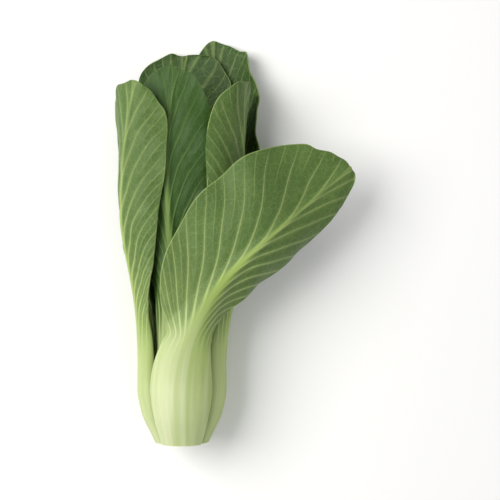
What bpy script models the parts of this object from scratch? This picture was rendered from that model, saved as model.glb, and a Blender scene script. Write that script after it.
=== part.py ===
"""One head of bok choy as it is cut, lying on its side. Metres, +Z up.

The head lies along +Y, its cut stem towards -Y and its leaf tips towards +Y. The origin is on the
table, in the middle of the small flat spot where the lower right outer stalk rests.

Every leaf grows on a shell round the head's own axis, an older leaf on a wider shell, as the layers
of the real head do, so that leaves wrap each other and never cross. Across the leaves a shell is a
circle in the swollen base and a flattened ring, round at both sides, where the blades are.

A leaf is drawn on its shell in two lengths: "along" runs up the leaf's midline, and "across" is
measured round the shell, positive from the top towards the right side.
"""

from dataclasses import dataclass

import bmesh
import bpy
import numpy as np

MM = 0.001

# The head's place: where its axis lies over the table, and how far the cut is from the origin
AXIS_X = -5.8 * MM
CUT_Y = -37.5 * MM
AXIS_STATIONS = (40 * MM, 80 * MM, 140 * MM, 220 * MM)
AXIS_HEIGHTS = (25.7 * MM, 29.1 * MM, 33.0 * MM, 34.3 * MM)

# Half the flat stretch of each ring's shell: none in the base, growing where the blades spread
FLAT_HALF = tuple(f * MM for f in (17, 15, 11, 5))
FLAT_FROM = 45 * MM
FLAT_OVER = 100 * MM

# Lengths over which a leaf turns to its lean, reaches out to the right, tucks in and ruffles
LEAN_OVER = 120 * MM
REACH_FROM = 80 * MM
REACH_OVER = 90 * MM
TUCK_SHARE = 0.7
TUCK_AFTER = 8 * MM
TUCK_OVER = 35 * MM
RUFFLE_LENGTH = 38 * MM
RUFFLE_OVER = 50 * MM
FLARE_FROM = 0.72

# The whole head's gentle bending: sideways and up and down, and the droop of what reaches far right
SWAY = 1.6 * MM
SWAY_FULL_AT = 80 * MM
SWAY_SIDE_LENGTH = 31 * MM
SWAY_LIFT_LENGTHS = (17 * MM, 21 * MM)
DROOP = 12 * MM
DROOP_FROM = 34 * MM
DROOP_OVER = 70 * MM
MIDDLE_HEIGHT = 40 * MM

# Radius of each ring's shell, measured at a leaf's inner face, at distances from the cut
SHELL_STATIONS = tuple(s * MM for s in (0, 8, 20, 35, 60, 90, 115, 150, 200, 250))
SHELL_RADII = (
    tuple(r * MM for r in (13.6, 15.6, 18.9, 20.6, 20.6, 20.8, 21.2, 22.2, 23.4, 24.0)),
    tuple(r * MM for r in (11.0, 11.4, 12.4, 12.7, 12.9, 13.3, 13.9, 15.0, 16.2, 16.8)),
    tuple(r * MM for r in (6.2, 6.4, 6.9, 7.1, 7.4, 8.4, 9.2, 10.0, 10.6, 10.8)),
    tuple(r * MM for r in (2.2, 2.2, 2.3, 2.4, 2.8, 3.2, 3.6, 4.0, 4.2, 4.2)),
)

# An outer stalk: places up the leaf, its thickness there, its half width and its edges' thickness.
# Inner rings have thinner and narrower ones. A foot is where a ring's stalks start above the cut.
STALK_STATIONS = tuple(s * MM for s in (0, 15, 35, 60, 76, 92, 110, 140, 180, 240))
STALK_THICK = tuple(t * MM for t in (3.2, 6.2, 7.6, 6.8, 5.6, 4.6, 3.8, 2.9, 2.2, 1.9))
STALK_HALF = tuple(w * MM for w in (8.0, 10.6, 12.4, 12.2, 10.8, 7.6, 5.2, 3.4, 2.2, 1.4))
EDGE_THICK = tuple(t * MM for t in (1.8, 2.4, 2.8, 2.2, 1.9, 1.9, 1.9, 1.9, 1.9, 1.9))
RING_THICK = (1.0, 0.70, 0.48, 0.30)
RING_HALF = (1.0, 0.98, 0.56, 0.27)
FOOT = (0.4 * MM, 5.2 * MM, 9.4 * MM, 14.6 * MM)
SHOULDER_POWER = 2.6
SHOULDER_ROUND = 0.75
BASE_TO = 35 * MM
BASE_OVER = 50 * MM
RIDGE_LEAST = 0.6 * MM
CREST_LEAST = 0.3 * MM

# The blade: where it starts up the leaf, its sheet and the seam to the stalk behind it
BLADE_FROM = (66 * MM, 62 * MM, 52 * MM, 44 * MM)
SHEET = 0.9 * MM
SEAM = 0.4 * MM
TIP_SHORT = 1.2 * MM
RIDGE_SHORT = 14 * MM
LEAST_HALF = 2.2 * MM
BLEND_POWER = 4
END_ROWS = 0.05
COLUMN_POWER = 1.15

# Rows and columns of points on a blade, and on a stalk below it, for each ring
BLADE_GRID = ((18, 11), (13, 9), (9, 7), (7, 5))
STALK_GRID = ((9, 9), (8, 7), (6, 7), (5, 5))
MIDLINE_STEPS = 200

# The short stem that carries the leaves, as (distance from the cut, radius)
STEM_PROFILE = (
    (0, 13.1), (3.2, 12.7), (4.6, 10.4), (8.4, 8.6), (9.0, 5.6), (12.2, 4.4), (13.2, 1.5), (14.0, 0),
)
STEM_SIDES = 28
MERGE = 0.01 * MM

STALK_COLOUR = (0.52, 0.62, 0.26, 1)
INNER_STALK_COLOUR = (0.60, 0.68, 0.33, 1)
BLADE_COLOUR = (0.075, 0.16, 0.035, 1)
INNER_BLADE_COLOUR = (0.17, 0.28, 0.065, 1)
CUT_COLOUR = (0.78, 0.80, 0.60, 1)
ROUGHNESS = 0.45
SHARP_ANGLE = np.radians(50)


@dataclass
class Leaf:
    """One leaf.

    Place is the share of half the way round the head from the top, positive to the right, and a
    leaf's "before" and "after" sides are those towards smaller and larger places. Lean turns it
    after "lean_from", level lifts it off its ring's shell and a tuck brings an edge back in. The
    base share and level are those of its stalk in the swollen base."""

    name: str
    ring: int
    place: float
    length: float
    blade_half: float
    before_share: float = 1.0
    after_share: float = 1.0
    lean: float = 0.0
    lean_from: float = 35 * MM
    start_power: float = 0.85
    tip_power: float = 0.5
    base_share: float = 1.0
    base_level: float = 0.0
    level: float = 0.0
    level_from: float = 50 * MM
    level_over: float = 70 * MM
    tuck_before: float = 0.0
    tip_flare: float = 0.0
    reach_right: float = 0.0
    ruffle: float = 0.9 * MM
    phase: float = 0.0


LEAVES = (
    Leaf("top_leaf", 0, 0.01, 218 * MM, 46 * MM, lean=51, lean_from=22 * MM, start_power=0.55,
         after_share=0.5, base_share=1.56, base_level=2 * MM, level=7 * MM, level_from=28 * MM,
         level_over=45 * MM, tip_flare=2 * MM, reach_right=75 * MM, ruffle=2.2 * MM, phase=0.6),
    Leaf("left_leaf", 0, -0.445, 225 * MM, 27 * MM, lean=11, lean_from=60 * MM, tip_power=0.40,
         base_share=0.87, level=-2.5 * MM, ruffle=1.0 * MM, phase=2.1),
    Leaf("right_leaf", 0, 0.470, 226 * MM, 28 * MM, lean=-3, tip_power=0.42, base_share=0.87,
         ruffle=1.0 * MM, phase=3.7),
    Leaf("lower_left_leaf", 0, -0.806, 252 * MM, 32 * MM, lean=-10, tip_power=0.42,
         base_share=0.95, level=6.4 * MM, tuck_before=-2 * MM, ruffle=0.8 * MM, phase=4.9),
    Leaf("lower_right_leaf", 0, 0.820, 257 * MM, 39 * MM, lean=2, tip_power=0.45, after_share=0.4,
         base_share=0.93, level=8.6 * MM, ruffle=0.8 * MM, phase=5.6),
    Leaf("middle_leaf_1", 1, -0.12, 230 * MM, 27 * MM, lean=3, start_power=1.0, tuck_before=-2.5 * MM,
         ruffle=1.0 * MM, phase=1.2),
    Leaf("middle_leaf_2", 1, 0.52, 214 * MM, 26 * MM, lean=3, start_power=1.0, tuck_before=-3 * MM,
         ruffle=1.0 * MM, phase=2.9),
    Leaf("middle_leaf_3", 1, -0.75, 220 * MM, 26 * MM, lean=3, start_power=1.0, tuck_before=-2.8 * MM,
         ruffle=1.0 * MM, phase=4.4),
    Leaf("inner_leaf_1", 2, -0.02, 186 * MM, 18 * MM, start_power=1.2, tuck_before=-2.2 * MM,
         ruffle=0.7 * MM, phase=0.3),
    Leaf("inner_leaf_2", 2, 0.65, 172 * MM, 17 * MM, start_power=1.2, tuck_before=-2.2 * MM,
         ruffle=0.7 * MM, phase=1.9),
    Leaf("inner_leaf_3", 2, -0.69, 180 * MM, 17 * MM, start_power=1.2, tuck_before=-2.2 * MM,
         ruffle=0.7 * MM, phase=3.3),
    Leaf("heart_leaf_1", 3, 0.40, 128 * MM, 7 * MM, ruffle=0.3 * MM, phase=0.9),
    Leaf("heart_leaf_2", 3, -0.60, 112 * MM, 6 * MM, ruffle=0.3 * MM, phase=2.4),
)


def clear_scene():
    for obj in list(bpy.data.objects):
        bpy.data.objects.remove(obj)


def ease(t):
    """0 before 0, 1 after 1, and a smooth S between them."""
    t = np.clip(t, 0, 1)
    return t * t * (3 - 2 * t)


def through(t, places, values):
    """A smooth curve through a few points that never overshoots them, level before and after."""
    x = np.asarray(places, float)
    y = np.asarray(values, float)
    rise = np.diff(y) / np.diff(x)
    same_way = rise[1:] * rise[:-1] > 0
    total = np.where(same_way, rise[1:] + rise[:-1], 1)
    slope = np.concatenate([rise[:1], np.where(same_way, 2 * rise[1:] * rise[:-1] / total, 0), rise[-1:]])
    t = np.clip(t, x[0], x[-1])
    i = np.clip(np.searchsorted(x, t, side="right") - 1, 0, len(x) - 2)
    step = x[i + 1] - x[i]
    u = (t - x[i]) / step
    return (
        y[i] * (1 + 2 * u) * (1 - u) ** 2
        + slope[i] * step * u * (1 - u) ** 2
        + y[i + 1] * u * u * (3 - 2 * u)
        + slope[i + 1] * step * u * u * (u - 1)
    )


def midline(leaf, along):
    """Distance from the cut, sideways run and direction of the leaf's midline.

    It rises straight and then turns sideways, by the leaf's lean, over the stalk's upper half."""
    run = np.linspace(0, leaf.length, MIDLINE_STEPS)
    turn = np.radians(leaf.lean) * ease((run - leaf.lean_from) / LEAN_OVER)
    step = run[1] - run[0]
    halfway = (turn[1:] + turn[:-1]) / 2
    up = FOOT[leaf.ring] + step * np.concatenate([[0], np.cumsum(np.cos(halfway))])
    side = step * np.concatenate([[0], np.cumsum(np.sin(halfway))])
    return np.interp(along, run, up), np.interp(along, run, side), np.interp(along, run, turn)


def flat_halves(leaf, height):
    """Half the flat stretch of the leaf's shell, on the left and on the right."""
    flat = FLAT_HALF[leaf.ring] * ease((height - FLAT_FROM) / FLAT_OVER)
    return flat, flat + leaf.reach_right * ease((height - REACH_FROM) / REACH_OVER)


def shell_radius(leaf, along, height, beside):
    """Radius of the leaf's inner face: its ring's and its level, tucked in and ruffled at the edges.

    Beside is 0 over the stalk and runs to -1 and 1 at the blade's two edges."""
    start = BLADE_FROM[leaf.ring]
    raised = ease((height - leaf.level_from) / leaf.level_over)
    tuck = leaf.tuck_before * ease(-beside / TUCK_SHARE)
    ruffle = np.sin(2 * np.pi * along / RUFFLE_LENGTH + leaf.phase + 2 * beside) * beside**2
    return (
        through(height, SHELL_STATIONS, SHELL_RADII[leaf.ring])
        + leaf.base_level
        + (leaf.level - leaf.base_level) * raised
        + tuck * ease((along - start - TUCK_AFTER) / TUCK_OVER)
        + leaf.ruffle * ruffle * ease((along - start) / RUFFLE_OVER)
        + leaf.tip_flare * ease((along / leaf.length - FLARE_FROM) / (1 - FLARE_FROM))
    )


def sway(points):
    """The same gentle bending of space for every leaf, so that none of them meets another."""
    x, y, z = points[..., 0], points[..., 1], points[..., 2]
    amount = SWAY * ease(y / SWAY_FULL_AT) * z / MIDDLE_HEIGHT
    lift = amount / 2 * np.sin(y / SWAY_LIFT_LENGTHS[0] + x / SWAY_LIFT_LENGTHS[1])
    droop = DROOP * ease((x - DROOP_FROM) / DROOP_OVER) * z / MIDDLE_HEIGHT
    return np.stack([x + amount * np.sin(y / SWAY_SIDE_LENGTH), y, z + lift - droop], axis=-1)


def leaf_points(leaf, along, sideways, offset):
    """Points of a leaf at lengths up its midline and sideways from it, moved out by offset.

    The point goes sideways at right angles to the midline, on the unrolled shell, and the shell is
    then rolled round the head: flat above and below the axis, round at both sides."""
    up, side, turn = midline(leaf, along)
    stalk = stalk_half(leaf, along)
    lamina = np.maximum(leaf_half(leaf, along, sideways) - stalk, 1 * MM)
    beside = np.sign(sideways) * np.maximum(np.abs(sideways) - stalk, 0) / lamina
    height = up - sideways * np.sin(turn)
    left, right = flat_halves(leaf, height)
    middle = leaf.place * (np.pi * shell_radius(leaf, along, height, 0 * beside) + 2 * left)
    radius = shell_radius(leaf, along, height, beside)
    across = middle + side + sideways * np.cos(turn)
    right_end = np.pi * radius + 2 * right
    left_end = np.pi * radius + 2 * left
    across = np.where(across > right_end, across - right_end - left_end, across)
    across = np.where(across < -left_end, across + right_end + left_end, across)
    out = radius + offset
    flat = np.where(across > 0, right, left)
    past = np.abs(across) - flat
    angle = np.clip(past / radius, 0, np.pi)
    under = np.maximum(past - np.pi * radius, 0)
    aside = np.where(past < 0, np.abs(across), flat + out * np.sin(angle) - under)
    x = AXIS_X + np.where(across > 0, aside, -aside)
    z = through(height, AXIS_STATIONS, AXIS_HEIGHTS) + out * np.cos(angle)
    return sway(np.stack([x, CUT_Y + height, z], axis=-1))


def stalk_half(leaf, along):
    """Half width of the stalk, which narrows into the rib behind the blade."""
    share = leaf.base_share + (1 - leaf.base_share) * ease((along - BASE_TO) / BASE_OVER)
    return share * RING_HALF[leaf.ring] * through(along, STALK_STATIONS, STALK_HALF)


def leaf_half(leaf, along, side):
    """Width of the whole leaf on one side: the stalk's, merged into a blade widest past its middle."""
    start = BLADE_FROM[leaf.ring]
    t = np.clip((along - start) / (leaf.length - start), 0, 1)
    peak = leaf.start_power / (leaf.start_power + leaf.tip_power)
    full = peak**leaf.start_power * (1 - peak) ** leaf.tip_power
    widest = leaf.blade_half * np.where(side > 0, leaf.after_share, leaf.before_share)
    blade = widest * t**leaf.start_power * (1 - t) ** leaf.tip_power / full
    both = stalk_half(leaf, along) ** BLEND_POWER + blade**BLEND_POWER
    return np.maximum(both ** (1 / BLEND_POWER), LEAST_HALF)


def stalk_offset(leaf, along, share):
    """Thickness of the stalk, full along its middle and rounded down to its edges."""
    middle = RING_THICK[leaf.ring] * through(along, STALK_STATIONS, STALK_THICK)
    thin = RING_THICK[leaf.ring] * through(along, STALK_STATIONS, EDGE_THICK)
    thin = np.maximum(thin, np.where(along > BLADE_FROM[leaf.ring], SHEET + SEAM + RIDGE_LEAST, 0))
    middle = np.maximum(middle, thin + CREST_LEAST)
    return thin + (middle - thin) * (1 - np.abs(share) ** SHOULDER_POWER) ** SHOULDER_ROUND


def slab(name, inner, outer, colour):
    """A closed solid between two grids of points, both cut into triangles the same way."""
    rows, columns = inner.shape[:2]
    count = rows * columns
    index = np.arange(count).reshape(rows, columns)
    a = index[:-1, :-1].ravel()
    b = index[:-1, 1:].ravel()
    c = index[1:, 1:].ravel()
    d = index[1:, :-1].ravel()
    sheet = np.concatenate([np.stack([a, b, c], 1), np.stack([a, c, d], 1)])
    rim = np.concatenate([index[0, :-1], index[:-1, -1], index[-1, :0:-1], index[:0:-1, 0]])
    following = np.roll(rim, -1)
    wall_low = np.stack([rim, rim + count, following], 1)
    wall_high = np.stack([following, rim + count, following + count], 1)
    faces = np.concatenate([sheet, sheet[:, ::-1] + count, wall_low, wall_high])
    points = np.concatenate([inner.reshape(-1, 3), outer.reshape(-1, 3)])
    mesh = bpy.data.meshes.new(name)
    mesh.from_pydata(points.tolist(), [], faces.tolist())
    finish_object(name, mesh, colour)


def finish_object(name, mesh, colour):
    """Points the faces outwards, adds the material and links the object."""
    shape = bmesh.new()
    shape.from_mesh(mesh)
    bmesh.ops.recalc_face_normals(shape, faces=shape.faces)
    if shape.calc_volume(signed=True) < 0:
        bmesh.ops.reverse_faces(shape, faces=shape.faces)
    shape.to_mesh(mesh)
    shape.free()
    mesh.shade_smooth()
    mesh.set_sharp_from_angle(angle=SHARP_ANGLE)
    mesh.materials.append(material(name, colour))
    obj = bpy.data.objects.new(name, mesh)
    bpy.context.scene.collection.objects.link(obj)


def material(name, colour):
    made = bpy.data.materials.new(name)
    made.use_nodes = True
    shader = made.node_tree.nodes["Principled BSDF"]
    shader.inputs["Base Color"].default_value = colour
    shader.inputs["Roughness"].default_value = ROUGHNESS
    shader.inputs["Metallic"].default_value = 0
    return made


def rest_on_table(points):
    """Nothing reaches below the table: what would is pressed flat on it."""
    return np.maximum(points, (-np.inf, -np.inf, 0))


def blade_rows(leaf, count):
    """Lengths of the blade's rows, closer together where it starts and at its rounded tip."""
    first = BLADE_FROM[leaf.ring] + 2 * SEAM
    last = leaf.length - TIP_SHORT
    t = np.linspace(0, 1, count)
    return first + (last - first) * (t - END_ROWS * np.sin(2 * np.pi * t))


def make_blade(leaf, rows, columns):
    """The leaf's green sheet, from where the stalk widens to the tip."""
    spread = np.linspace(-1, 1, columns)
    shares = np.sign(spread) * np.abs(spread) ** COLUMN_POWER
    along, share = np.meshgrid(blade_rows(leaf, rows), shares, indexing="ij")
    sideways = share * leaf_half(leaf, along, share)
    inner = leaf_points(leaf, along, sideways, 0)
    outer = rest_on_table(leaf_points(leaf, along, sideways, SHEET))
    colour = BLADE_COLOUR if leaf.ring < 2 else INNER_BLADE_COLOUR
    slab(leaf.name + "_blade", inner, outer, colour)


def make_stalk(leaf, rows, columns, ridge_rows):
    """The thick pale stalk, which goes on as the rib on the blade's outer face."""
    join = BLADE_FROM[leaf.ring]
    lower = join * np.linspace(0, 1, rows)
    upper = ridge_rows[ridge_rows < leaf.length - RIDGE_SHORT]
    lengths = np.concatenate([lower, [join + SEAM / 2], upper[1:]])
    step_out = np.concatenate([np.zeros(rows), np.full(len(upper), SHEET + SEAM)])
    along, share = np.meshgrid(lengths, np.linspace(-1, 1, columns), indexing="ij")
    sideways = share * stalk_half(leaf, along)
    inner = leaf_points(leaf, along, sideways, step_out[:, None])
    outer = rest_on_table(leaf_points(leaf, along, sideways, stalk_offset(leaf, along, share)))
    colour = STALK_COLOUR if leaf.ring < 2 else INNER_STALK_COLOUR
    slab(leaf.name + "_stalk", inner, outer, colour)


def make_stem():
    """The short stem at the heart of the base, cut off square, turned from its profile."""
    shape = bmesh.new()
    height = AXIS_HEIGHTS[0]
    points = [
        shape.verts.new((AXIS_X + radius * MM, CUT_Y + from_cut * MM, height))
        for from_cut, radius in STEM_PROFILE
    ]
    points.insert(0, shape.verts.new((AXIS_X, CUT_Y, height)))
    edges = [shape.edges.new(pair) for pair in zip(points, points[1:])]
    bmesh.ops.spin(
        shape,
        geom=points + edges,
        cent=(AXIS_X, CUT_Y, height),
        axis=(0, 1, 0),
        angle=2 * np.pi,
        steps=STEM_SIDES,
        use_duplicate=False,
    )
    bmesh.ops.remove_doubles(shape, verts=shape.verts, dist=MERGE)
    mesh = bpy.data.meshes.new("stem")
    shape.to_mesh(mesh)
    shape.free()
    finish_object("stem", mesh, CUT_COLOUR)


def main():
    clear_scene()
    make_stem()
    for leaf in LEAVES:
        rows, columns = BLADE_GRID[leaf.ring]
        make_blade(leaf, rows, columns)
        make_stalk(leaf, *STALK_GRID[leaf.ring], blade_rows(leaf, rows))


main()
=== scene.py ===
"""One head of bok choy, laid on a pale table and seen from straight above."""

from dataclasses import dataclass

import bpy
import numpy as np
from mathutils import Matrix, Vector


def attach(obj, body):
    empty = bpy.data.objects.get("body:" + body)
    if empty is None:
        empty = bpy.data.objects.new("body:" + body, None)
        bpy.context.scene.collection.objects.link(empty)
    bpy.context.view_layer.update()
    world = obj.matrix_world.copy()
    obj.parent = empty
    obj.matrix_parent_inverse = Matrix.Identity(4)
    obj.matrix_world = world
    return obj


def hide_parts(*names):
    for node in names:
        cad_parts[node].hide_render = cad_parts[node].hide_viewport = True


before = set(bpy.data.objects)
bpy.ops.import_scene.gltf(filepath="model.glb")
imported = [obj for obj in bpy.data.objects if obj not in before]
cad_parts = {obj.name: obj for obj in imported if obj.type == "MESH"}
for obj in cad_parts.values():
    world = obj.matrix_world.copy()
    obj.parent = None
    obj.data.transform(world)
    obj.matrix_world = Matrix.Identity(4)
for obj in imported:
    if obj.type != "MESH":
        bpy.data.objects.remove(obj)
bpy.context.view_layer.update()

# The table: a plain pale top under soft studio light. A large soft lamp stands over the left side
# and a smaller one over the right, in a bright room, and the camera looks straight down.
MM = 0.001
PIXEL = 0.62 * MM
VIEW_CENTRE = (37.0 * MM, 83.4 * MM)
VIEW_HEIGHT = 36 * MM
LENS = 85
SENSOR = 36
FIELD = 500 * PIXEL
ROOM_LIGHT = 0.45

camera = bpy.data.objects.new("camera", bpy.data.cameras.new("camera"))
camera.data.lens = LENS
camera.data.sensor_width = SENSOR
camera.data.clip_start = 0.01
camera.data.clip_end = 20
camera.location = (*VIEW_CENTRE, VIEW_HEIGHT + FIELD * LENS / SENSOR)
bpy.context.scene.collection.objects.link(camera)
bpy.context.scene.camera = camera
bpy.context.scene.view_settings.view_transform = "Standard"


def add_lamp(name, place, size, watts, colour):
    """A square soft lamp at a place, turned towards the middle of the head."""
    lamp = bpy.data.objects.new(name, bpy.data.lights.new(name, "AREA"))
    lamp.data.size = size
    lamp.data.energy = watts
    lamp.data.color = colour
    lamp.location = place
    towards = Vector(np.array([*VIEW_CENTRE, 0]) - place)
    lamp.rotation_euler = towards.to_track_quat("-Z", "Y").to_euler()
    bpy.context.scene.collection.objects.link(lamp)


add_lamp("key_lamp", (-0.66, 0.32, 0.90), size=0.8, watts=13.5, colour=(1.0, 0.985, 0.965))
add_lamp("fill_lamp", (0.5, -0.3, 1.0), size=0.9, watts=2.0, colour=(0.97, 0.985, 1.0))

world = bpy.data.worlds.new("room")
world.use_nodes = True
world.node_tree.nodes["Background"].inputs["Color"].default_value = (1, 1, 1, 1)
world.node_tree.nodes["Background"].inputs["Strength"].default_value = ROOM_LIGHT
bpy.context.scene.world = world


class Wire:
    """One value running between shader nodes. Sums, products and powers of it add Math nodes."""

    def __init__(self, finish, socket):
        self.finish = finish
        self.socket = socket

    def maths(self, operation, *values):
        return self.finish.add("ShaderNodeMath", {"operation": operation}, enumerate(values))

    def __add__(self, other):
        return self.maths("ADD", self, other)

    def __sub__(self, other):
        return self.maths("SUBTRACT", self, other)

    def __mul__(self, other):
        return self.maths("MULTIPLY", self, other)

    def __truediv__(self, other):
        return self.maths("DIVIDE", self, other)

    def __pow__(self, other):
        return self.maths("POWER", self, other)

    def __abs__(self):
        return self.maths("ABSOLUTE", self)

    def __rsub__(self, other):
        return self.maths("SUBTRACT", other, self)

    def least(self, other):
        return self.maths("MINIMUM", self, other)

    def most(self, other):
        return self.maths("MAXIMUM", self, other)

    def fraction(self):
        return self.maths("FRACT", self)

    __radd__ = __add__
    __rmul__ = __mul__


class Finish:
    """A material being put together from nodes round its Principled shader."""

    def __init__(self, name):
        self.material = bpy.data.materials.new(name)
        self.material.use_nodes = True
        self.tree = self.material.node_tree
        self.shader = self.tree.nodes["Principled BSDF"]

    def add(self, kind, settings, inputs, output=0):
        """Adds a node: first its settings, then a value or a wire for each of its named sockets."""
        node = self.tree.nodes.new(kind)
        for key, value in dict(settings).items():
            setattr(node, key, value)
        for key, value in dict(inputs).items():
            self.feed(node.inputs[key], value)
        return Wire(self, node.outputs[output])

    def feed(self, socket, value):
        if isinstance(value, Wire):
            self.tree.links.new(value.socket, socket)
        else:
            socket.default_value = value

    def step(self, value, low, high):
        """0 below low, 1 above high, and a smooth S between them."""
        return self.add(
            "ShaderNodeMapRange",
            {"interpolation_type": "SMOOTHSTEP"},
            {"Value": value, "From Min": low, "From Max": high},
        )

    def mix(self, share, colour_a, colour_b):
        """Colour a where the share is 0 and colour b where it is 1."""
        return self.add("ShaderNodeMix", {"data_type": "RGBA"}, {0: share, 6: colour_a, 7: colour_b}, 2)

    def split(self, vector):
        """The three numbers of a vector."""
        return [self.add("ShaderNodeSeparateXYZ", {}, {0: vector}, k) for k in range(3)]

    def carried(self, name):
        """The three numbers of the vector that the mesh carries by that name."""
        return self.split(self.add("ShaderNodeAttribute", {"attribute_name": name}, {}, "Vector"))

    def noise(self, vector, scale, detail):
        """Soft noise between 0 and 1 on a vector."""
        inputs = {"Vector": vector, "Scale": scale, "Detail": detail}
        return self.add("ShaderNodeTexNoise", {}, inputs)

    def bump(self, height_mm):
        """Raises the surface by a height in millimetres."""
        raised = self.add("ShaderNodeBump", {}, {"Distance": MM, "Height": height_mm})
        self.feed(self.shader.inputs["Normal"], raised)

    def set(self, **values):
        """Sets or links the shader's own sockets, an underscore for each space."""
        for key, value in values.items():
            self.feed(self.shader.inputs[key.replace("_", " ")], value)


def shade(red, green, blue):
    """The linear colour that shaders take, from the one seen on screen, with parts from 0 to 255."""
    seen = np.array([red, green, blue]) / 255
    linear = np.where(seen <= 0.04045, seen / 12.92, ((seen + 0.055) / 1.055) ** 2.4)
    return (*linear.tolist(), 1.0)


def add_mesh(name, points, faces, material):
    """Makes a smooth mesh object from an array of points and a list of faces."""
    mesh = bpy.data.meshes.new(name)
    mesh.from_pydata(points.tolist(), [], faces)
    mesh.shade_smooth()
    mesh.materials.append(material)
    made = bpy.data.objects.new(name, mesh)
    bpy.context.scene.collection.objects.link(made)
    return made


TABLE_HALF = 8.0
TABLE_DROP = 0.05 * MM
TABLE_DARK = shade(240, 240, 239)
TABLE_LIGHT = shade(244, 244, 243)
CLOUD_SCALE = 3.0

table_finish = Finish("table_top")
where_on_table = table_finish.add("ShaderNodeTexCoord", {}, {}, "Object")
cloud = table_finish.noise(where_on_table, CLOUD_SCALE, 2)
table_finish.set(
    Base_Color=table_finish.mix(cloud, TABLE_DARK, TABLE_LIGHT),
    Roughness=0.85,
    Specular_IOR_Level=0.2,
)
table_corners = np.array([[-1, -1, 0], [1, -1, 0], [1, 1, 0], [-1, 1, 0]]) * TABLE_HALF
table_corners[:, 2] = -TABLE_DROP
table = add_mesh("table_top", table_corners, [[0, 1, 2, 3]], table_finish.material)


# The stem: the short solid heart of the base that every leaf grows from, cut off square with a
# knife. Its flesh is off-white and moist, with a ring of darker strands near the rim.
AXIS_X = -5.8 * MM
CUT_Y = -37.5 * MM
AXIS_STATIONS = (40 * MM, 80 * MM, 140 * MM, 220 * MM)
AXIS_HEIGHTS = (25.7 * MM, 29.1 * MM, 33.0 * MM, 34.3 * MM)
STEM_SIDES = 144
STEM_ACROSS = (0.02, 1.2, 2.6, 4.0, 5.4, 6.8, 8.2, 9.4, 10.6, 11.6, 12.3, 12.8, 13.0, 13.1, 13.0, 12.8,
               12.6, 12.0, 11.0, 10.4, 9.6, 8.9, 8.6, 7.8, 6.4, 5.4, 4.8, 4.4, 2.6, 1.2, 0.02)
STEM_HEIGHTS = (0.25, 0.25, 0.22, 0.2, 0.16, 0.12, 0.1, 0.06, 0.04, 0.02, 0.05, 0.15, 0.4, 1.0, 1.9, 2.8,
                3.3, 3.9, 4.4, 5.0, 6.4, 7.6, 8.3, 8.8, 9.2, 9.9, 11.0, 12.2, 12.9, 13.5, 13.9)
STEM_TONE = shade(226, 226, 196)
STEM_CORE = shade(236, 237, 214)
STEM_STRAND = shade(196, 201, 150)
STEM_DRIED = shade(197, 178, 130)
SPECKLE_SCALE = 900
BLOTCH_SCALE = 160
STRAND_SCALE = 620
CUT_RIPPLE = 0.12 * MM
CUT_EDGE = 12 * MM
CUT_DEPTH = 0.5 * MM
STEM_LOBES = ((0.012, 5, 0.4), (0.006, 13, 2.0))
STRANDS_FROM = (7.2, 9.0)
STRANDS_TO = (10.2, 11.4)
DRIED_FROM = (12.4, 14.6)


def spun_stem():
    """The stem's profile turned round the head's axis.

    Its radius waves a little with the turn, by two sines, and so does the height of its cut face."""
    radius = np.array(STEM_ACROSS)[:, None] * MM
    height = np.array(STEM_HEIGHTS)[:, None] * MM
    turn = np.linspace(0, 2 * np.pi, STEM_SIDES, endpoint=False)[None, :]
    ripple = CUT_RIPPLE * np.sin(2 * turn + 0.8) * np.clip(radius / CUT_EDGE, 0, 1)
    lobed = radius * (1 + sum(share * np.sin(count * turn + start) for share, count, start in STEM_LOBES))
    y = CUT_Y + np.maximum(height + ripple * (height < CUT_DEPTH), 0)
    z = AXIS_HEIGHTS[0] + lobed * np.sin(turn)
    return np.stack([AXIS_X + lobed * np.cos(turn), y, z], axis=-1)


def spun_faces(rows, columns):
    """Faces of a grid whose last column joins its first, with one more face over each end."""
    index = np.arange(rows * columns).reshape(rows, columns)
    beside = np.roll(index, -1, axis=1)
    quads = np.stack([index[:-1], index[1:], beside[1:], beside[:-1]], axis=-1)
    return quads.reshape(-1, 4).tolist() + [index[0].tolist(), index[-1, ::-1].tolist()]


stem_finish = Finish("cut_stem")
stem_place = stem_finish.add("ShaderNodeTexCoord", {}, {}, "Object")
stem_x, _, stem_z = stem_finish.split(stem_place)
stem_out = (((stem_x - AXIS_X) ** 2 + (stem_z - AXIS_HEIGHTS[0]) ** 2) ** 0.5) / MM
stem_speckle = stem_finish.noise(stem_place, SPECKLE_SCALE, 3)
stem_cloud = stem_finish.noise(stem_place, BLOTCH_SCALE, 2)
strand_ring = stem_finish.step(stem_out, *STRANDS_FROM) * (1 - stem_finish.step(stem_out, *STRANDS_TO))
from_strand = stem_finish.add(
    "ShaderNodeTexVoronoi", {"feature": "F1"}, {"Vector": stem_place, "Scale": STRAND_SCALE}
)
strands = strand_ring * (1 - stem_finish.step(from_strand, 0.22, 0.5))
stem_dry = stem_finish.step(stem_out + stem_cloud * 3, *DRIED_FROM)
stem_tone = stem_finish.mix(stem_cloud, STEM_CORE, STEM_TONE)
stem_tone = stem_finish.mix(strands * 0.75, stem_tone, STEM_STRAND)
stem_tone = stem_finish.mix(stem_dry * 0.7 + stem_speckle * 0.12, stem_tone, STEM_DRIED)
stem_finish.set(
    Base_Color=stem_tone,
    Roughness=0.34 + stem_speckle * 0.25,
    Subsurface_Weight=0.25,
    Subsurface_Radius=(0.9, 1.0, 0.6),
    Subsurface_Scale=2.5 * MM,
    Specular_IOR_Level=0.5,
)
stem_finish.bump(stem_speckle * 0.12 + strands * 0.10)

stem_points = spun_stem()
stem = add_mesh(
    "cut_stem",
    stem_points.reshape(-1, 3),
    spun_faces(*stem_points.shape[:2]),
    stem_finish.material,
)
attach(stem, "root")
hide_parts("stem")


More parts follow.
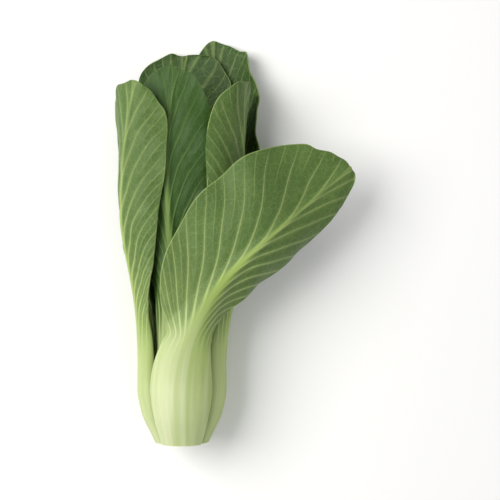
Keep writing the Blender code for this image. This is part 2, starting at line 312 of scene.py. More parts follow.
# The leaves: each is one thick pale stalk, crescent-shaped in section, that narrows into the rib on
# the back of a thin green blade. They grow from the stem in rings and wrap each other like shells.
FLAT_HALF = tuple(f * MM for f in (17, 15, 11, 5))
FLAT_FROM = 45 * MM
FLAT_OVER = 100 * MM
LEAN_OVER = 120 * MM
REACH_FROM = 80 * MM
REACH_OVER = 90 * MM
TUCK_SHARE = 0.7
TUCK_AFTER = 8 * MM
TUCK_OVER = 35 * MM
RUFFLE_LENGTH = 38 * MM
RUFFLE_OVER = 50 * MM
FLARE_FROM = 0.72
SWAY = 1.6 * MM
SWAY_FULL_AT = 80 * MM
SWAY_SIDE_LENGTH = 31 * MM
SWAY_LIFT_LENGTHS = (17 * MM, 21 * MM)
DROOP = 12 * MM
DROOP_FROM = 34 * MM
DROOP_OVER = 70 * MM
MIDDLE_HEIGHT = 40 * MM
SHELL_STATIONS = tuple(s * MM for s in (0, 8, 20, 35, 60, 90, 115, 150, 200, 250))
SHELL_RADII = (
    tuple(r * MM for r in (13.6, 15.6, 18.9, 20.6, 20.6, 20.8, 21.2, 22.2, 23.4, 24.0)),
    tuple(r * MM for r in (11.0, 11.4, 12.4, 12.7, 12.9, 13.3, 13.9, 15.0, 16.2, 16.8)),
    tuple(r * MM for r in (6.2, 6.4, 6.9, 7.1, 7.4, 8.4, 9.2, 10.0, 10.6, 10.8)),
    tuple(r * MM for r in (2.2, 2.2, 2.3, 2.4, 2.8, 3.2, 3.6, 4.0, 4.2, 4.2)),
)
STALK_STATIONS = tuple(s * MM for s in (0, 15, 35, 60, 76, 92, 110, 140, 180, 240))
STALK_THICK = tuple(t * MM for t in (3.2, 6.2, 7.6, 6.8, 5.6, 4.6, 3.8, 2.9, 2.2, 1.9))
STALK_HALF = tuple(w * MM for w in (8.0, 10.6, 12.4, 12.2, 10.8, 7.6, 5.2, 3.4, 2.2, 1.4))
EDGE_THICK = tuple(t * MM for t in (1.8, 2.4, 2.8, 2.2, 1.9, 1.9, 1.9, 1.9, 1.9, 1.9))
RING_THICK = (1.0, 0.70, 0.48, 0.30)
RING_HALF = (1.0, 0.98, 0.56, 0.27)
FOOT = (0.4 * MM, 5.2 * MM, 9.4 * MM, 14.6 * MM)
SHOULDER_POWER = 2.6
SHOULDER_ROUND = 0.75
BASE_TO = 35 * MM
BASE_OVER = 50 * MM
BLADE_FROM = (66 * MM, 62 * MM, 52 * MM, 44 * MM)
SHEET = 0.9 * MM
LEAST_HALF = 0.3 * MM
BLEND_POWER = 4
MIDLINE_STEPS = 200
CREST_LEAST = 0.3 * MM

# The rib, which swells out of the sheet and sinks back into it before the tip
RIB_SPREAD = 1.35
RIB_POWER = 1.5
RIB_OVER = 34 * MM
RIB_FADE = 32 * MM
TIP_ZONE = 12 * MM

# The run of the veins: how they rise from the midline, and how far apart they are
VEIN_RISE = 0.50
VEIN_RISE_LOSS = 0.35
VEIN_POWER = 0.55
VEIN_TURN_FROM = 45 * MM
VEIN_TURN_OVER = 55 * MM
VEIN_GAP = 15.0 * MM
VEIN_GAP_GROWTH = 0.05
VEIN_WANDER = 0.13
VEIN_WANDER_OVER = 0.3
VEIN_FIELD_SHARE = 0.72
VEIN_FIELD_OVER = 0.6
SLOPE_STEP = 0.05 * MM
GAP_LIMITS = (0.02, 40)

# The three sines of a slow wave: share, lengths along and sideways, and start for each unit of phase
WAVES = ((0.5, 14 * MM, 19 * MM, 5), (0.3, 7.7 * MM, -11 * MM, 3), (0.2, 5.1 * MM, 6.3 * MM, 7))

# The relief of the outer face, with gaps between veins in millimetres
OPEN_BEFORE = 10 * MM
OPEN_OVER = 60 * MM
VEIN_RIDGE = 0.32 * MM
VEIN_WIDE = 1.2 * MM
VEIN_SINK = 0.6
VEIN_GAPS = (1.2, 4.2)
CROWDED_GAPS = (0.9, 2.3)
STALK_RIB = 0.025 * MM
STALK_FOLD = 0.34 * MM
STALK_FOLD_TURN = 5.5
STALK_FOLD_EDGE = 0.4
STALK_RELIEF_OVER = 25 * MM

# The bending of both faces: pucker between the veins, billows, frill and a tip that curls out
PUCKER = 0.30 * MM
PUCKER_GAPS = (2.4, 6.4)
PUCKER_EDGE = 0.15
BLISTER = 0.3
BLISTER_LENGTH = 2.6 * MM
BLISTER_WANDER = 4
BILLOW = 1.25
BILLOW_PACE = 0.6
FRILL = 0.9 * MM
FRILL_PACE = 2.2
HALF_WAY_OUT = 0.5
CURL_FROM = 0.86

# The green: its width out from the midline in halves of the stalk, low down and high up, over the
# veins and between them, and how far before the blade each of them starts
RIB_SLIMS_OVER = 60 * MM
GREEN_OUT_LOW = (0.75, 1.5)
GREEN_OUT_HIGH = (0.25, 0.75)
GREEN_OUT_BETWEEN = (0.05, 0.65)
GREEN_BEFORE = 8 * MM
GREEN_BEFORE_BETWEEN = 10 * MM
GREEN_OVER = 26 * MM

# The margin and the two ends
EDGE_CROWDING = 0.28
TIP_ROWS = 24
MARGIN_FLAT = 0.01 * MM
MARGIN_WANDER = 0.04
MARGIN_WANDER_OVER = 40 * MM
SIDES_APART = 20 * MM
TIP_LOBE = 5 * MM
TIP_LOBE_PACE = 3.4
TIP_LOBE_FROM = 0.72
FOOT_FILL = 0.45 * MM
FOOT_FILL_OVER = 10 * MM
INNER_LOWEST = 0.3 * MM
SHARP_ANGLE = np.radians(60)


@dataclass
class Leaf:
    """One leaf.

    Place is the share of half the way round the head from the top, positive to the right, and a
    leaf's "before" and "after" sides are those towards smaller and larger places. Lean turns it
    after "lean_from", level lifts it off its ring's shell and a tuck brings an edge back in. The
    base share and level are those of its stalk in the swollen base, curl bends its tip out, and
    painted stalk shade is the share by which its stalk is painted greener than the ring's palest
    one, as painted shade for a stalk that lies in shade."""

    name: str
    ring: int
    place: float
    length: float
    blade_half: float
    before_share: float = 1.0
    after_share: float = 1.0
    lean: float = 0.0
    lean_from: float = 35 * MM
    start_power: float = 0.85
    tip_power: float = 0.5
    base_share: float = 1.0
    base_level: float = 0.0
    level: float = 0.0
    level_from: float = 50 * MM
    level_over: float = 70 * MM
    tuck_before: float = 0.0
    tip_flare: float = 0.0
    reach_right: float = 0.0
    ruffle: float = 0.9 * MM
    phase: float = 0.0
    curl: float = 0.0
    painted_stalk_shade: float = 0.0


def ease(t):
    """0 before 0, 1 after 1, and a smooth S between them."""
    t = np.clip(t, 0, 1)
    return t * t * (3 - 2 * t)


def between(value, limits):
    """0 below the first limit, 1 above the second, and a smooth S between them."""
    return ease((value - limits[0]) / (limits[1] - limits[0]))


def through(t, places, values):
    """A smooth curve through a few points that never overshoots them, level before and after."""
    x = np.asarray(places, float)
    y = np.asarray(values, float)
    rise = np.diff(y) / np.diff(x)
    same_way = rise[1:] * rise[:-1] > 0
    total = np.where(same_way, rise[1:] + rise[:-1], 1)
    slope = np.concatenate([rise[:1], np.where(same_way, 2 * rise[1:] * rise[:-1] / total, 0), rise[-1:]])
    t = np.clip(t, x[0], x[-1])
    i = np.clip(np.searchsorted(x, t, side="right") - 1, 0, len(x) - 2)
    step = x[i + 1] - x[i]
    u = (t - x[i]) / step
    return (
        y[i] * (1 + 2 * u) * (1 - u) ** 2
        + slope[i] * step * u * (1 - u) ** 2
        + y[i + 1] * u * u * (3 - 2 * u)
        + slope[i + 1] * step * u * u * (u - 1)
    )


def midline(leaf, along):
    """Distance from the cut, sideways run and direction of the leaf's midline.

    It rises straight and then turns sideways, by the leaf's lean, over the stalk's upper half."""
    run = np.linspace(0, leaf.length, MIDLINE_STEPS)
    turn = np.radians(leaf.lean) * ease((run - leaf.lean_from) / LEAN_OVER)
    step = run[1] - run[0]
    halfway = (turn[1:] + turn[:-1]) / 2
    up = FOOT[leaf.ring] + step * np.concatenate([[0], np.cumsum(np.cos(halfway))])
    side = step * np.concatenate([[0], np.cumsum(np.sin(halfway))])
    return np.interp(along, run, up), np.interp(along, run, side), np.interp(along, run, turn)


def flat_halves(leaf, height):
    """Half the flat stretch of the leaf's shell, on the left and on the right.

    Both widen in a smooth S with the distance from the cut, and the right one by the leaf's reach."""
    flat = FLAT_HALF[leaf.ring] * ease((height - FLAT_FROM) / FLAT_OVER)
    return flat, flat + leaf.reach_right * ease((height - REACH_FROM) / REACH_OVER)


def shell_radius(leaf, along, height, beside):
    """Radius of the leaf's inner face: its ring's and its level, tucked in and ruffled at the edges.

    Beside is 0 over the stalk and runs to -1 and 1 at the blade's two edges, and the ruffle is a
    sine of the length up the leaf times its square."""
    start = BLADE_FROM[leaf.ring]
    raised = ease((height - leaf.level_from) / leaf.level_over)
    tuck = leaf.tuck_before * ease(-beside / TUCK_SHARE)
    ruffle = np.sin(2 * np.pi * along / RUFFLE_LENGTH + leaf.phase + 2 * beside) * beside**2
    return (
        through(height, SHELL_STATIONS, SHELL_RADII[leaf.ring])
        + leaf.base_level
        + (leaf.level - leaf.base_level) * raised
        + tuck * ease((along - start - TUCK_AFTER) / TUCK_OVER)
        + leaf.ruffle * ruffle * ease((along - start) / RUFFLE_OVER)
        + leaf.tip_flare * ease((along / leaf.length - FLARE_FROM) / (1 - FLARE_FROM))
    )


def sway(points):
    """The same gentle bending of space for every leaf, so that none of them meets another.

    Points move sideways and up by sines of their distance from the cut, the more the higher they
    lie, and those far out to the right sink in proportion to their height."""
    x, y, z = points[..., 0], points[..., 1], points[..., 2]
    amount = SWAY * ease(y / SWAY_FULL_AT) * z / MIDDLE_HEIGHT
    lift = amount / 2 * np.sin(y / SWAY_LIFT_LENGTHS[0] + x / SWAY_LIFT_LENGTHS[1])
    droop = DROOP * ease((x - DROOP_FROM) / DROOP_OVER) * z / MIDDLE_HEIGHT
    return np.stack([x + amount * np.sin(y / SWAY_SIDE_LENGTH), y, z + lift - droop], axis=-1)


def leaf_points(leaf, along, sideways, offset):
    """Points of a leaf at lengths up its midline and sideways from it, moved out by offset.

    The point goes sideways at right angles to the midline, on the unrolled shell, and the shell is
    then rolled round the head: flat above and below the axis, round at both sides."""
    up, side, turn = midline(leaf, along)
    stalk = stalk_half(leaf, along)
    lamina = np.maximum(leaf_half(leaf, along, sideways) - stalk, 1 * MM)
    beside = np.clip(np.sign(sideways) * np.maximum(np.abs(sideways) - stalk, 0) / lamina, -1, 1)
    height = up - sideways * np.sin(turn)
    left, right = flat_halves(leaf, height)
    middle = leaf.place * (np.pi * shell_radius(leaf, along, height, 0 * beside) + 2 * left)
    radius = shell_radius(leaf, along, height, beside)
    across = middle + side + sideways * np.cos(turn)
    right_end = np.pi * radius + 2 * right
    left_end = np.pi * radius + 2 * left
    across = np.where(across > right_end, across - right_end - left_end, across)
    across = np.where(across < -left_end, across + right_end + left_end, across)
    out = radius + offset
    flat = np.where(across > 0, right, left)
    past = np.abs(across) - flat
    angle = np.clip(past / radius, 0, np.pi)
    under = np.maximum(past - np.pi * radius, 0)
    aside = np.where(past < 0, np.abs(across), flat + out * np.sin(angle) - under)
    x = AXIS_X + np.where(across > 0, aside, -aside)
    z = through(height, AXIS_STATIONS, AXIS_HEIGHTS) + out * np.cos(angle)
    return sway(np.stack([x, CUT_Y + height, z], axis=-1))


def stalk_half(leaf, along):
    """Half width of the stalk, which narrows into the rib behind the blade: a curve through stations."""
    share = leaf.base_share + (1 - leaf.base_share) * ease((along - BASE_TO) / BASE_OVER)
    return share * RING_HALF[leaf.ring] * through(along, STALK_STATIONS, STALK_HALF)


def blade_half(leaf, along, side):
    """Half width of the blade alone: nothing at its start and its tip, widest past its middle.

    It is a power of the share of the way from its start times a power of the share left to go."""
    start = BLADE_FROM[leaf.ring]
    t = np.clip((along - start) / (leaf.length - start), 0, 1)
    peak = leaf.start_power / (leaf.start_power + leaf.tip_power)
    full = peak**leaf.start_power * (1 - peak) ** leaf.tip_power
    widest = leaf.blade_half * np.where(side > 0, leaf.after_share, leaf.before_share)
    return widest * t**leaf.start_power * (1 - t) ** leaf.tip_power / full


def leaf_half(leaf, along, side):
    """Width of the whole leaf on one side: the stalk's merged into the blade's.

    It is the fourth root of the sum of their fourth powers."""
    tip = ease((leaf.length - along) / TIP_ZONE) ** 0.5
    both = (stalk_half(leaf, along) * tip) ** BLEND_POWER + blade_half(leaf, along, side) ** BLEND_POWER
    return np.maximum(both ** (1 / BLEND_POWER), LEAST_HALF)


def stalk_offset(leaf, along, sideways):
    """Thickness of the leaf: a full crescent over the stalk, a rib sinking into the sheet above it.

    Crescent and rib are both one minus a power of the share of the way out, raised to a power."""
    share = np.abs(sideways) / stalk_half(leaf, along)
    middle = RING_THICK[leaf.ring] * through(along, STALK_STATIONS, STALK_THICK)
    thin = RING_THICK[leaf.ring] * through(along, STALK_STATIONS, EDGE_THICK)
    middle = np.maximum(middle, thin + CREST_LEAST)
    inside = np.clip(share, 0, 1)
    crescent = thin + (middle - thin) * (1 - inside**SHOULDER_POWER) ** SHOULDER_ROUND
    middle = np.maximum(middle, SHEET + CREST_LEAST)
    raised = (middle - SHEET) * ease((leaf.length - along) / RIB_FADE)
    rib = SHEET + raised * (1 - np.clip(share / RIB_SPREAD, 0, 1) ** 2) ** RIB_POWER
    sunk = ease((along - BLADE_FROM[leaf.ring] + RIB_OVER / 2) / RIB_OVER)
    return crescent + (rib - crescent) * sunk


def wander(along, sideways, phase):
    """A slow uneven wave between about -1 and 1: three sines of unlike lengths and directions."""
    return sum(
        share * np.sin(along / length + sideways / width + turns * phase)
        for share, length, width, turns in WAVES
    )


def vein_number(leaf, along, sideways):
    """Counts the veins: each whole number and a half is one vein of the side it lies on.

    A vein leaves the midline at a length and rises from it by the leaf's rise times a power, under
    one, of the share of the way to the margin, so that it starts beside the rib and curves away.
    Down in the stalk that length stands still and the veins run beside each other."""
    start = BLADE_FROM[leaf.ring]
    t = np.clip((along - start) / (leaf.length - start), 0, 1)
    widest = leaf.blade_half * np.where(sideways > 0, leaf.after_share, leaf.before_share)
    field = VEIN_FIELD_SHARE * widest * ease(t / VEIN_FIELD_OVER)
    both = leaf_half(leaf, along, sideways) ** BLEND_POWER + field**BLEND_POWER
    share = np.abs(sideways) / both ** (1 / BLEND_POWER)
    u = (along - VEIN_TURN_FROM) / VEIN_TURN_OVER
    gone = np.clip(u, 0, 1)
    risen = VEIN_TURN_OVER * (gone**3 - gone**4 / 2 + np.maximum(u - 1, 0))
    rise = VEIN_RISE * leaf.length
    level = risen - rise * (1 - VEIN_RISE_LOSS * t) * share**VEIN_POWER + rise
    number = np.log1p(VEIN_GAP_GROWTH * level / VEIN_GAP) / VEIN_GAP_GROWTH
    number += VEIN_WANDER * wander(along, sideways, leaf.phase) * ease(share / VEIN_WANDER_OVER)
    return number + np.where(sideways > 0, 0.5, 0) + leaf.phase


def vein_field(leaf, along, sideways):
    """The vein number, the gap between veins in millimetres and the share of the way to the margin.

    The gap is one over the steepness of the vein number, measured by a small step each way."""
    here = vein_number(leaf, along, sideways)
    outward = np.where(sideways > 0, SLOPE_STEP, -SLOPE_STEP)
    slope_up = (vein_number(leaf, along + SLOPE_STEP, sideways) - here) / SLOPE_STEP
    slope_out = (vein_number(leaf, along, sideways + outward) - here) / SLOPE_STEP
    gap = 1 / np.maximum(np.hypot(slope_up, slope_out), 1e-6)
    share = np.abs(sideways) / np.abs(sideways).max(axis=1, keepdims=True)
    return here, np.clip(gap / MM, *GAP_LIMITS), share


def leaf_grid(leaf, rows, columns):
    """Lengths and sideways distances of the skin's points, closer together at the tip and edges.

    The margin wanders in and out, and near the tip each line of points is cut short by a wave of
    its sideways distance, which makes the tip's lobes."""
    last = leaf.length - TIP_ZONE
    ending = 1 - (1 - np.linspace(0, 1, TIP_ROWS + 1)[1:]) ** 2
    lengths = np.concatenate([np.linspace(0, last, rows), last + TIP_ZONE * ending])
    spread = np.linspace(-1, 1, columns)
    shares = (1 - EDGE_CROWDING) * spread + EDGE_CROWDING * np.sin(spread * np.pi / 2)
    along, share = np.meshgrid(lengths, shares, indexing="ij")
    opened = ease((along - BLADE_FROM[leaf.ring]) / MARGIN_WANDER_OVER)
    uneven = 1 + MARGIN_WANDER * opened * wander(along, SIDES_APART * np.sign(share), leaf.phase)
    sideways = share * leaf_half(leaf, along, share) * uneven
    lobes = 0.5 + 0.5 * wander(0, TIP_LOBE_PACE * sideways, leaf.phase + 4)
    near_tip = ease((along / leaf.length - TIP_LOBE_FROM) / (1 - TIP_LOBE_FROM))
    return along - TIP_LOBE * RING_THICK[leaf.ring] * lobes * near_tip, sideways


def closed_skin(rows, columns):
    """Faces of a skin with an outer and an inner face on the same grid, joined all the way round."""
    count = rows * columns
    index = np.arange(count).reshape(rows, columns)
    sheet = np.stack([index[:-1, :-1], index[:-1, 1:], index[1:, 1:], index[1:, :-1]], -1).reshape(-1, 4)
    rim = np.concatenate([index[0, :-1], index[:-1, -1], index[-1, :0:-1], index[:0:-1, 0]])
    following = np.roll(rim, -1)
    wall = np.stack([rim, rim + count, following + count, following], 1)
    return np.concatenate([sheet, sheet[:, ::-1] + count, wall]).tolist()


def outer_relief(leaf, along, sideways, number, gap, share, opened):
    """How far the outer face stands out: veins in the blade, fine ribs and broad folds in the stalk.

    A vein is a bell across its line, the ribs are a cosine of the vein number and the folds one of
    the share of the way to the edge."""
    from_vein = np.abs(number - np.floor(number) - 0.5) * gap * MM
    bells = np.exp(-((from_vein / VEIN_WIDE) ** 2)) * between(gap, VEIN_GAPS)
    ribs = np.cos(2 * np.pi * (number - 0.5)) * between(gap, CROWDED_GAPS)
    turn = STALK_FOLD_TURN * np.sign(sideways) * share + 2 * leaf.phase
    folds = np.cos(turn) * ease((1 - share) / STALK_FOLD_EDGE)
    in_stalk = RING_THICK[leaf.ring] * (1 - opened) * ease(along / STALK_RELIEF_OVER)
    veins = VEIN_RIDGE * bells * opened * (1 - VEIN_SINK * share)
    return veins + in_stalk * (STALK_RIB * ribs + STALK_FOLD * folds)


def sheet_bend(leaf, along, sideways, number, gap, share, opened):
    """How far both faces are bent out: pucker between the veins, billows, frill and a curled tip."""
    blisters = np.cos(along / BLISTER_LENGTH + BLISTER_WANDER * wander(along, sideways, leaf.phase))
    pucker = -PUCKER * np.cos(2 * np.pi * (number - 0.5)) * (1 - BLISTER + BLISTER * blisters)
    pucker *= between(gap, PUCKER_GAPS) * ease((1 - share) / PUCKER_EDGE)
    billow = wander(along * BILLOW_PACE, sideways * BILLOW_PACE, leaf.phase + 1)
    billow *= BILLOW * leaf.ruffle * ease(share / HALF_WAY_OUT)
    frill = wander(along * FRILL_PACE, sideways, leaf.phase + 2)
    frill *= FRILL * RING_THICK[leaf.ring] * ease((share - HALF_WAY_OUT) / (1 - HALF_WAY_OUT))
    curl = leaf.curl * np.clip((along / leaf.length - CURL_FROM) / (1 - CURL_FROM), 0, 1) ** 2
    return opened * (pucker + billow + frill) + curl


def greenness(leaf, along, sideways):
    """How green the leaf is over its veins and between them, from the stalk out to the blade.

    Between the veins the green starts nearer the stalk, so the veins fan out of it as pale lines."""
    up = along - BLADE_FROM[leaf.ring]
    out = np.abs(sideways) / stalk_half(leaf, along)
    slim = ease(up / RIB_SLIMS_OVER)
    limits = [low + (high - low) * slim for low, high in zip(GREEN_OUT_LOW, GREEN_OUT_HIGH)]
    over_veins = between(out, limits) * ease((up + GREEN_BEFORE) / GREEN_OVER)
    between_veins = between(out, GREEN_OUT_BETWEEN) * ease((up + GREEN_BEFORE_BETWEEN) / GREEN_OVER)
    return over_veins, between_veins


def add_leaf(leaf, rows, columns, material):
    """Makes a leaf's skin and lets it stand for the stalk and the blade of the frame.

    The outer face lies a thickness out from the inner one, and the margin between them is rounded:
    each face leaves the middle of the sheet by half its thickness times a quarter circle's height.
    What the finish reads is carried by each point as four vectors, in which back is 1 on the outer
    face and 0 on the inner one."""
    along, sideways = leaf_grid(leaf, rows, columns)
    number, gap, share = vein_field(leaf, along, sideways)
    opened = ease((along - BLADE_FROM[leaf.ring] + OPEN_BEFORE) / OPEN_OVER)
    relief = outer_relief(leaf, along, sideways, number, gap, share, opened)
    bend = sheet_bend(leaf, along, sideways, number, gap, share, opened)
    half_thick = stalk_offset(leaf, along, sideways) / 2
    to_edge = np.maximum(1 - share, 0) * leaf_half(leaf, along, sideways) + MARGIN_FLAT
    rounded = np.sqrt(1 - np.clip(1 - to_edge / half_thick, 0, 1) ** 2)
    foot = (FOOT_FILL + leaf.base_level) * ease(1 - along / FOOT_FILL_OVER)
    outer = leaf_points(leaf, along, sideways, half_thick + bend + (half_thick + relief) * rounded)
    inner = leaf_points(leaf, along, sideways, half_thick + bend - half_thick * rounded - foot)
    outer[..., 2] = np.maximum(outer[..., 2], 0)
    inner[..., 2] = np.maximum(inner[..., 2], INNER_LOWEST)
    points = np.concatenate([outer.reshape(-1, 3), inner.reshape(-1, 3)])
    made = add_mesh(leaf.name, points, closed_skin(*along.shape), material)
    both_faces = (2, *along.shape)
    back = np.array([1, 0]).reshape(2, 1, 1)
    for name, numbers in (
        ("veins", (number, gap, share)),
        ("place", (sideways / MM, along / MM, back)),
        # the third number is the leaf's painted shade on its stalk
        ("green", (*greenness(leaf, along, sideways), leaf.painted_stalk_shade)),
        ("reach", (to_edge / MM, along / leaf.length, 0)),
    ):
        vectors = np.stack([np.broadcast_to(one, both_faces) for one in numbers], axis=-1)
        carried = made.data.attributes.new(name, "FLOAT_VECTOR", "POINT")
        carried.data.foreach_set("vector", vectors.ravel())
    made.data.set_sharp_from_angle(angle=SHARP_ANGLE)
    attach(made, "root")
    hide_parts(leaf.name + "_blade", leaf.name + "_stalk")


@dataclass
class LeafTones:
    """The colours of one ring of leaves, as they look on screen."""

    stalk_low: tuple
    stalk_high: tuple
    blade: tuple
    blade_deep: tuple
    # the inner face's own darker green, partly painted shade between the leaves
    face: tuple
    vein: tuple


FACES_APART = 40
MOTTLE_SCALE = 0.06
GRAIN_SCALE = 1.4
STRAND_STRETCH = (1.6, 0.05)
STREAK_STRETCH = (0.22, 0.008)
NET_STRETCH = (1, 0.8)
NET_SCALE = 0.28
FINE_NET_SCALE = 0.9
VEIN_LINE = 1.25
VEIN_LINE_LOSS_OUT = 0.70
VEIN_LINE_LOSS_UP = 0.45
VEIN_MOST_OF_GAP = 0.30
CROWDED_VEIN = 0.45
LEAF_SHINE = 0.27
LEAF_GLOW = 0.30
LEAF_GLOW_COLOURS = (0.9, 1.0, 0.45)
LEAF_GLOW_DEPTH = 2.2 * MM


class LeafFinish(Finish):
    """Waxy pale stalk with fine strands, running out as veins into a green blade with a fine net."""

    def __init__(self, name, tones):
        super().__init__(name)
        self.tones = tones
        self.number, self.gap, self.share = self.carried("veins")
        self.aside, self.up, self.back = self.carried("place")
        self.to_edge, self.height, _ = self.carried("reach")
        self.vein, self.halo = self.vein_lines()
        self.net = self.net_lines(NET_SCALE, 0.09)
        self.fine_net = self.net_lines(FINE_NET_SCALE, 0.12)
        self.grain = self.noise(self.stretched(1, 1), GRAIN_SCALE, 2)
        self.strands = self.noise(self.stretched(*STRAND_STRETCH), 1.0, 3)
        # the third number is the leaf's painted shade on its stalk
        vein_green, between_green, self.painted_stalk_shade = self.carried("green")
        green = vein_green + (between_green - vein_green).most(0) * (1 - self.vein) * 0.95
        green = green + (1 - green) * self.step(self.height, 0.50, 0.97) * 0.85
        self.set(
            Base_Color=self.mix(green, self.stalk_tone(), self.blade_tone()),
            Roughness=0.55 - self.back * 0.15 + green * self.back * 0.08 + self.grain * 0.10,
            Specular_IOR_Level=LEAF_SHINE,
            Subsurface_Weight=LEAF_GLOW,
            Subsurface_Radius=LEAF_GLOW_COLOURS,
            Subsurface_Scale=LEAF_GLOW_DEPTH,
        )
        self.bump(
            self.vein * self.back * green * 0.22
            + self.net * green * 0.07
            + self.grain * 0.05
            + self.strands * (1 - green) * 0.07
        )

    def stretched(self, across, lengthwise):
        """Where a point lies on its face, scaled both ways, with the two faces kept far apart."""
        numbers = {0: self.aside * across, 1: self.up * lengthwise, 2: self.back * FACES_APART}
        return self.add("ShaderNodeCombineXYZ", {}, numbers)

    def net_lines(self, scale, thick):
        """1 on the lines of a net between the veins and 0 in its meshes."""
        inputs = {"Vector": self.stretched(*NET_STRETCH), "Scale": scale}
        from_line = self.add("ShaderNodeTexVoronoi", {"feature": "DISTANCE_TO_EDGE"}, inputs)
        return 1 - self.step(from_line, 0, thick)

    def vein_lines(self):
        """1 on a vein and 0 off it, and the same for the soft halo round it.

        A vein thins towards the margin and the tip. Crowded veins blur into one even tone."""
        from_vein = abs(self.number.fraction() - 0.5) * self.gap
        width = VEIN_LINE - self.share * VEIN_LINE_LOSS_OUT - self.height * VEIN_LINE_LOSS_UP
        from_vein = from_vein / width.least(self.gap * VEIN_MOST_OF_GAP)
        crowded = 1 - self.step(self.gap, *CROWDED_GAPS)
        line = (1 - self.step(from_vein, 0.2, 0.9)) * (1 - crowded) + crowded * CROWDED_VEIN
        return line, 1 - self.step(from_vein, 0.3, 2.6)

    def blade_tone(self):
        """The blade's green: flat on the inner face, paler low down and on its veins, and lighter at the
        margin as a painted highlight. The inner face is darker, partly its own green and partly painted
        shade.
        """
        tones = self.tones
        mottle = self.noise(self.stretched(1, 1), MOTTLE_SCALE, 3)
        tone = self.mix(mottle, tones.blade_deep, tones.blade)
        # inner face: its own darker green, partly painted shade between the leaves
        tone = self.mix((1 - self.back) * 0.75, tone, tones.face)
        from_side_vein = abs((self.number + 0.5).fraction() - 0.5) * self.gap
        side_vein = (1 - self.step(from_side_vein, 0.12, 0.5)) * self.step(self.share, 0.3, 0.7)
        faint = self.halo * 0.16 + self.net * 0.10 + self.fine_net * 0.05 + side_vein * 0.22
        paler_low = (1 - self.step(self.height, 0.3, 0.62)) * 0.16
        tone = self.mix(paler_low + faint, tone, tones.vein)
        dimmer_outward = 1 - self.share * 0.40
        dimmer_upward = 1 - self.step(self.height, 0.34, 0.84) * 0.66
        seen = (0.30 + self.back * 0.50) * dimmer_outward * dimmer_upward
        tone = self.mix(self.vein * seen, tone, tones.vein)
        # painted highlight: the blade is lightened towards its margin, like light caught on the edge
        painted_margin_highlight = (1 - self.step(self.to_edge, 0.1, 0.9)) * 0.4
        return self.mix(painted_margin_highlight, tone, tones.vein)

    def stalk_tone(self):
        """The stalk's pale green: greener upwards and in streaks, whiter where it is cut, and greener on
        one side and on some whole stalks as painted shade.
        """
        tones = self.tones
        streaks = self.step(self.noise(self.stretched(*STREAK_STRETCH), 1.0, 1), 0.35, 0.70) * 0.34
        # painted shade: one side of every stalk is mixed towards the greener tone, as the side away from
        # the lamp
        painted_shade_side = self.step(self.aside, -8, 14) * 0.36
        tone = self.mix(self.step(self.height, 0.10, 0.52), tones.stalk_low, tones.stalk_high)
        tone = self.mix(self.step(self.height, 0.40, 0.80) * 0.8, tone, tones.vein)
        # real streaks, plus painted shade: the shaded side and each leaf's painted stalk shade
        tone = self.mix(streaks + painted_shade_side + self.painted_stalk_shade, tone, tones.stalk_high)
        tone = self.mix((self.strands - 0.3) * 0.35, tone, tones.stalk_high)
        tone = self.mix((1 - self.vein) * 0.07, tone, tones.stalk_high)
        cut = (1 - self.step(self.up, 0.1, 0.5)) * self.step(self.to_edge + self.grain * 0.6, 0.4, 0.9)
        return self.mix(cut * 0.70, tone, STEM_CORE)


# The heart leaves: the two youngest, small and yellow-green, hidden in the middle of the head. They
# are tender, with thin stalks, and stand upright between the others.
heart_finish = LeafFinish(
    "heart_leaf",
    LeafTones(
        stalk_low=shade(226, 233, 188),
        stalk_high=shade(190, 206, 138),
        blade=shade(150, 174, 92),
        blade_deep=shade(132, 158, 78),
        face=shade(138, 163, 82),
        vein=shade(204, 216, 156),
    ),
)
for heart in (
    Leaf("heart_leaf_1", 3, 0.40, 128 * MM, 7 * MM, ruffle=0.3 * MM, phase=0.9),
    Leaf("heart_leaf_2", 3, -0.60, 112 * MM, 6 * MM, ruffle=0.3 * MM, phase=2.4),
):
    add_leaf(heart, 130, 33, heart_finish.material)


# The inner leaves: three half-grown ones round the heart, fresh green with thin pale stalks. Only
# their tips show between the larger blades.
inner_finish = LeafFinish(
    "inner_leaf",
    LeafTones(
        stalk_low=shade(222, 230, 180),
        stalk_high=shade(176, 195, 122),
        blade=shade(112, 142, 66),
        blade_deep=shade(94, 126, 54),
        face=shade(98, 130, 58),
        vein=shade(182, 198, 128),
    ),
)
for inner in (
    Leaf("inner_leaf_1", 2, -0.02, 186 * MM, 18 * MM, start_power=1.2, tuck_before=-2.2 * MM,
         ruffle=0.7 * MM, phase=0.3),
    Leaf("inner_leaf_2", 2, 0.65, 172 * MM, 17 * MM, start_power=1.2, tuck_before=-2.2 * MM,
         ruffle=0.7 * MM, phase=1.9),
    Leaf("inner_leaf_3", 2, -0.69, 180 * MM, 17 * MM, start_power=1.2, tuck_before=-2.2 * MM,
         ruffle=0.7 * MM, phase=3.3),
):
    add_leaf(inner, 180, 57, inner_finish.material)


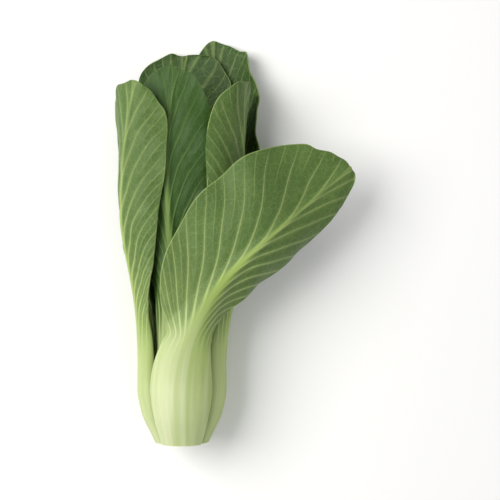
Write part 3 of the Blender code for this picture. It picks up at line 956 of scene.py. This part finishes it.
# The middle leaves: three nearly full-grown ones with deep green blades, tucked under each other on
# one side. Their blades fill the top of the head between the outer leaves.
middle_finish = LeafFinish(
    "middle_leaf",
    LeafTones(
        stalk_low=shade(200, 212, 156),
        stalk_high=shade(122, 148, 74),
        blade=shade(56, 88, 29),
        blade_deep=shade(42, 73, 22),
        face=shade(40, 70, 25),
        vein=shade(96, 125, 58),
    ),
)
for middle in (
    Leaf("middle_leaf_1", 1, -0.12, 230 * MM, 27 * MM, lean=3, start_power=1.0, tuck_before=-2.5 * MM,
         ruffle=1.0 * MM, phase=1.2),
    Leaf("middle_leaf_2", 1, 0.52, 214 * MM, 26 * MM, lean=3, start_power=1.0, tuck_before=-3 * MM,
         ruffle=1.0 * MM, phase=2.9),
    Leaf("middle_leaf_3", 1, -0.75, 220 * MM, 26 * MM, lean=3, start_power=1.0, tuck_before=-2.8 * MM,
         ruffle=1.0 * MM, phase=4.4),
):
    add_leaf(middle, 230, 81, middle_finish.material)


# The outer leaves: five full-grown ones, with broad waxy stalks that swell at the base. The front one
# leans far out to the right, one stands at each side and the head rests on the other two.
outer_finish = LeafFinish(
    "outer_leaf",
    LeafTones(
        stalk_low=shade(213, 219, 180),
        stalk_high=shade(150, 173, 86),
        blade=shade(88, 114, 53),
        blade_deep=shade(69, 97, 42),
        # the inner face's own darker green, made darker still as painted shade between the leaves
        face=shade(38, 67, 24),
        vein=shade(166, 185, 116),
    ),
)
# painted_stalk_shade paints the stalks of leaves that lie in shade greener and darker, as painted shade
for outer in (
    Leaf("top_leaf", 0, 0.01, 218 * MM, 46 * MM, lean=51, lean_from=22 * MM, start_power=0.55,
         after_share=0.5, base_share=1.56, base_level=2 * MM, level=7 * MM, level_from=28 * MM,
         level_over=45 * MM, tip_flare=2 * MM, reach_right=75 * MM, ruffle=2.2 * MM, phase=0.6,
         painted_stalk_shade=0.10),
    Leaf("left_leaf", 0, -0.445, 225 * MM, 27 * MM, lean=11, lean_from=60 * MM, tip_power=0.40,
         base_share=0.87, level=-2.5 * MM, ruffle=1.0 * MM, phase=2.1, curl=4 * MM),
    Leaf("right_leaf", 0, 0.470, 226 * MM, 28 * MM, lean=-3, tip_power=0.42, base_share=0.87,
         ruffle=1.0 * MM, phase=3.7, curl=3 * MM, painted_stalk_shade=0.55),
    Leaf("lower_left_leaf", 0, -0.806, 252 * MM, 32 * MM, lean=-10, tip_power=0.42,
         base_share=0.95, level=6.4 * MM, tuck_before=-2 * MM, ruffle=0.8 * MM, phase=4.9,
         painted_stalk_shade=0.30),
    Leaf("lower_right_leaf", 0, 0.820, 257 * MM, 39 * MM, lean=2, tip_power=0.45, after_share=0.4,
         base_share=0.93, level=8.6 * MM, ruffle=0.8 * MM, phase=5.6, painted_stalk_shade=0.20),
):
    add_leaf(outer, 250, 101, outer_finish.material)
